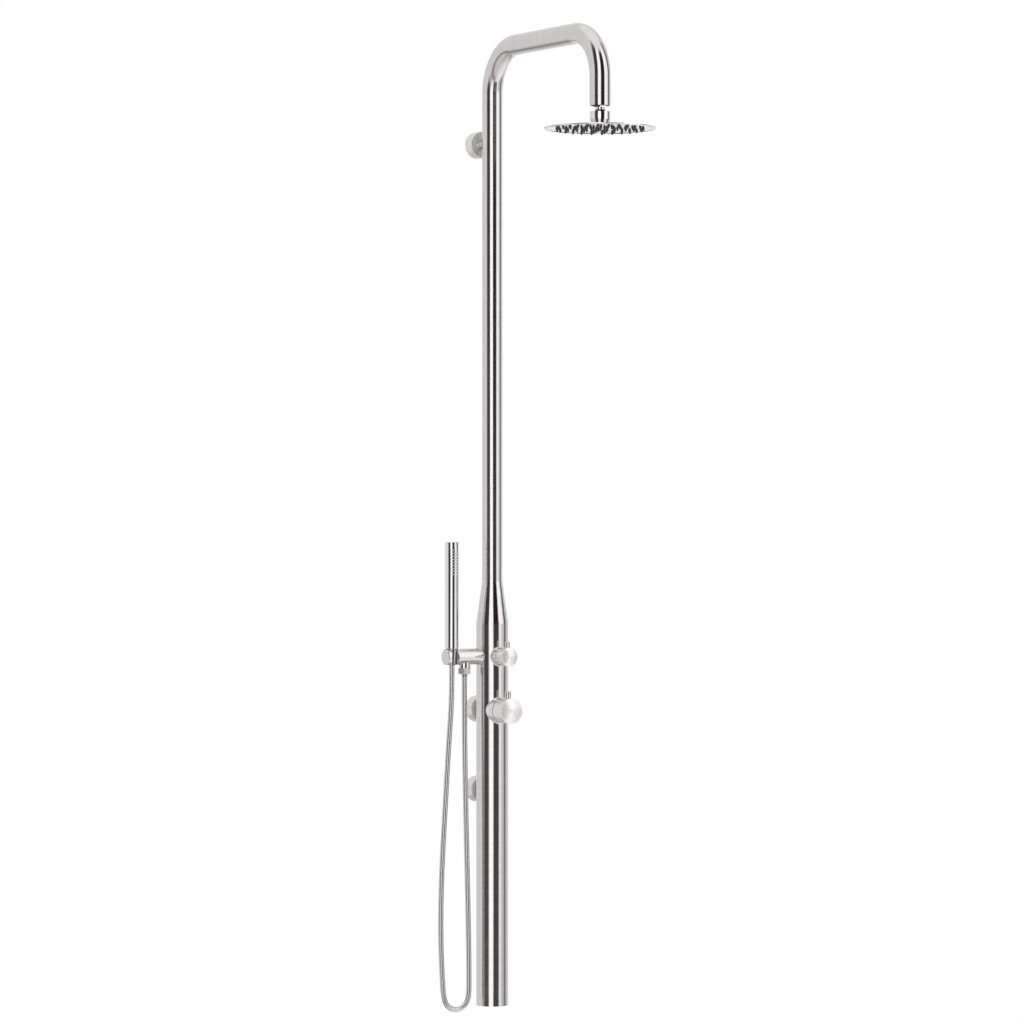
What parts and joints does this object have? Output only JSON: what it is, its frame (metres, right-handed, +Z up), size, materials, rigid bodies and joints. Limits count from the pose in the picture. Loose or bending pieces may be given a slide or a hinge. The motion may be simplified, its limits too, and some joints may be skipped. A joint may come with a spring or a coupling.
{
  "type": "wall-mounted outdoor shower",
  "caption": "Wall-mounted stainless shower column: bent riser with round tilting rain head, mixer and diverter knobs, hand shower in a side holder with a hanging hose.",
  "frame": {"origin": "centre of the lower (cold) inlet, on the wall plane", "axes": "+X along the wall to the bather's right, -Y forward from the wall, +Y into the wall, +Z up"},
  "size_m": [0.2197, 0.565, 1.8083],
  "materials": {
    "brushed_tube": "satin brushed stainless steel",
    "satin_turned": "stainless steel, turned and brushed in circles on the end faces",
    "polished_steel": "stainless steel, polished",
    "plated_brass": "nickel plated brass, half bright",
    "zinc_screws": "plain steel screws",
    "raw_brass": "machined brass, unseen inside",
    "copper_pipe": "drawn copper pipe, unseen inside",
    "anchor_alloy": "plain cast alloy disc",
    "inner_plastic": "moulded plastic, unseen inside",
    "seal_rubber": "black rubber seals",
    "hose_plastic": "smooth silver hose, clear outer skin over metallic foil",
    "nozzle_silicone": "dark silicone nozzles",
    "spray_silicone": "grey silicone nozzles"
  },
  "bodies": {
    "column": {"lower_tube": "brushed_tube", "foot_plug": "brushed_tube", "reducer_cone": "brushed_tube", "riser_tube": "brushed_tube", "upper_stem": "brushed_tube", "upper_rosette": "satin_turned", "upper_anchor": "anchor_alloy", "upper_stud": "zinc_screws", "upper_stud_nut": "zinc_screws", "upper_rosette_grub": "zinc_screws", "inlet_stems": "brushed_tube", "inlet_rosettes": "satin_turned", "inlet_nipples": "raw_brass", "wall_seals": "seal_rubber", "inlet_strainers": "inner_plastic", "non_return_valves": "inner_plastic", "mixer_boss": "brushed_tube", "mixer_valve_body": "raw_brass", "mixer_cartridge": "inner_plastic", "mixer_cartridge_nut": "raw_brass", "diverter_boss": "brushed_tube", "diverter_valve_body": "raw_brass", "diverter_cartridge": "inner_plastic", "diverter_cartridge_nut": "raw_brass", "cold_elbow": "raw_brass", "cold_feed_pipe": "copper_pipe", "mixed_water_pipe": "copper_pipe", "hand_feed_pipe": "copper_pipe", "hot_coupling": "raw_brass", "head_feed_pipe": "copper_pipe", "holder_arm": "brushed_tube", "outlet_nipple": "polished_steel", "hose_union_nut": "plated_brass", "lower_ferrule": "plated_brass", "lower_hose_washer": "seal_rubber", "hose": "hose_plastic", "arm_end_bush": "raw_brass", "nipple_seal": "seal_rubber", "ball_nipple": "polished_steel"},
    "mixer_control": {"mixer_knob": "satin_turned", "mixer_lever_pin": "satin_turned", "mixer_spindle": "raw_brass", "mixer_grub_screw": "zinc_screws"},
    "diverter_control": {"diverter_knob": "satin_turned", "diverter_lever_pin": "satin_turned", "diverter_spindle": "raw_brass", "diverter_grub_screw": "zinc_screws"},
    "hose_end": {"upper_ferrule": "plated_brass"},
    "hand_shower": {"cone_nut": "plated_brass", "upper_hose_washer": "seal_rubber", "handset_body": "polished_steel", "handset_cap": "polished_steel", "spray_insert": "spray_silicone"},
    "head_seat": {"ball_seat_ring": "inner_plastic"},
    "shower_head": {"swivel_collar": "polished_steel", "head_hub": "raw_brass", "flow_restrictor": "inner_plastic", "head_top_plate": "brushed_tube", "head_spray_plate": "brushed_tube", "nozzle_mat": "nozzle_silicone"}
  },
  "joints": [
    {"name": "mixer_turn", "type": "hinge", "parent": "column", "child": "mixer_control", "pos_m": [0, -0.099, 0.15], "axis": [0, -1, 0], "range_deg": [0, 100]},
    {"name": "diverter_turn", "type": "hinge", "parent": "column", "child": "diverter_control", "pos_m": [0, -0.0985, 0.25], "axis": [0, -1, 0], "range_deg": [-45, 45]},
    {"name": "hand_lift", "type": "slide", "parent": "column", "child": "hose_end", "axis": [0, 0, 1], "range_m": [0, 0.06]},
    {"name": "hand_turn", "type": "hinge", "parent": "hose_end", "child": "hand_shower", "pos_m": [-0.087, -0.058, 0.25], "axis": [0, 0, 1], "continuous": true},
    {"name": "head_turn", "type": "hinge", "parent": "column", "child": "head_seat", "pos_m": [0, -0.435, 1.228], "axis": [0, 0, 1], "continuous": true},
    {"name": "head_tilt", "type": "hinge", "parent": "head_seat", "child": "shower_head", "pos_m": [0, -0.435, 1.228], "axis": [1, 0, 0], "range_deg": [-15, 15]}
  ]
}
